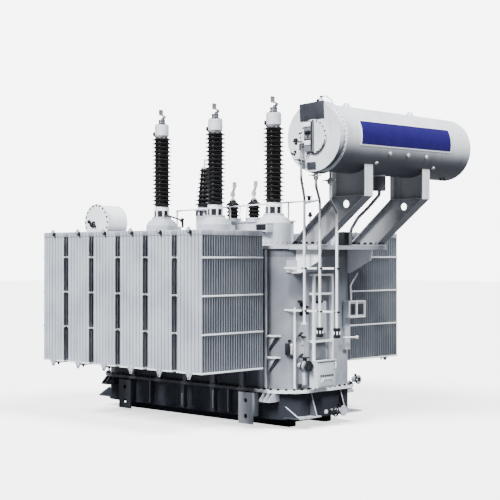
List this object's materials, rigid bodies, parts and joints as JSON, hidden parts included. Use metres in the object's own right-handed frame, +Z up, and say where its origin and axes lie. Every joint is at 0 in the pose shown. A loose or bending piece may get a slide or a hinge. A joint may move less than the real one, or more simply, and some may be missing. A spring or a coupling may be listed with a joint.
{
  "type": "power transformer",
  "caption": "Oil-filled power transformer with a bell tank, panel radiators down both sides, tall porcelain bushings and an overhung conservator.",
  "frame": {"origin": "on the ground under the centre of the tank", "axes": "+X towards the conservator end, -Y towards the front radiators, +Z up"},
  "size_m": [6.1, 4.6, 5.134],
  "materials": {
    "tank_paint": "satin",
    "radiator_paint": "satin",
    "base_paint": "satin",
    "porcelain": "gloss",
    "terminal_metal": "satin",
    "breather_glass": "gloss",
    "gauge_plastic": "gloss",
    "relay_metal": "satin"
  },
  "bodies": {
    "root": {"base_cross_beams": "base_paint", "base_plate": "base_paint", "base_stiffeners": "base_paint", "bell_stiffeners": "tank_paint", "breathers": "breather_glass", "conservator_cover": "tank_paint", "conservator_dished_end": "tank_paint", "conservator_pipes": "tank_paint", "conservator_shell": "tank_paint", "drive_cabinet": "tank_paint", "end_frame": "tank_paint", "gas_relay": "relay_metal", "hv_porcelain_1": "porcelain", "hv_porcelain_2": "porcelain", "hv_porcelain_3": "porcelain", "hv_terminal_1": "terminal_metal", "hv_terminal_2": "terminal_metal", "hv_terminal_3": "terminal_metal", "hv_turret_1": "tank_paint", "hv_turret_2": "tank_paint", "hv_turret_3": "tank_paint", "indicator_box": "tank_paint", "jacking_pads": "tank_paint", "low_voltage_box": "tank_paint", "low_voltage_porcelains": "porcelain", "low_voltage_terminals": "terminal_metal", "lower_flange": "tank_paint", "lower_tank": "base_paint", "neutral_porcelain": "porcelain", "neutral_terminal": "terminal_metal", "neutral_turret": "tank_paint", "oil_level_gauge": "gauge_plastic", "oil_pipe": "relay_metal", "oil_valves": "tank_paint", "pipe_brackets": "tank_paint", "pulling_brackets": "tank_paint", "radiator_back_1": "radiator_paint", "radiator_back_2": "radiator_paint", "radiator_back_3": "radiator_paint", "radiator_back_4": "radiator_paint", "radiator_back_5": "radiator_paint", "radiator_back_6": "radiator_paint", "radiator_front_1": "radiator_paint", "radiator_front_2": "radiator_paint", "radiator_front_3": "radiator_paint", "radiator_front_4": "radiator_paint", "radiator_front_5": "radiator_paint", "radiator_front_6": "radiator_paint", "radiator_valves": "tank_paint", "shelf_gussets": "tank_paint", "skid_beams": "base_paint", "support_frame_back": "tank_paint", "support_frame_front": "tank_paint", "support_shelf": "tank_paint", "tap_changer_drum": "tank_paint", "top_cover": "tank_paint", "upper_flange": "tank_paint", "upper_tank": "tank_paint", "vent_pipe": "tank_paint"}
  },
  "joints": []
}
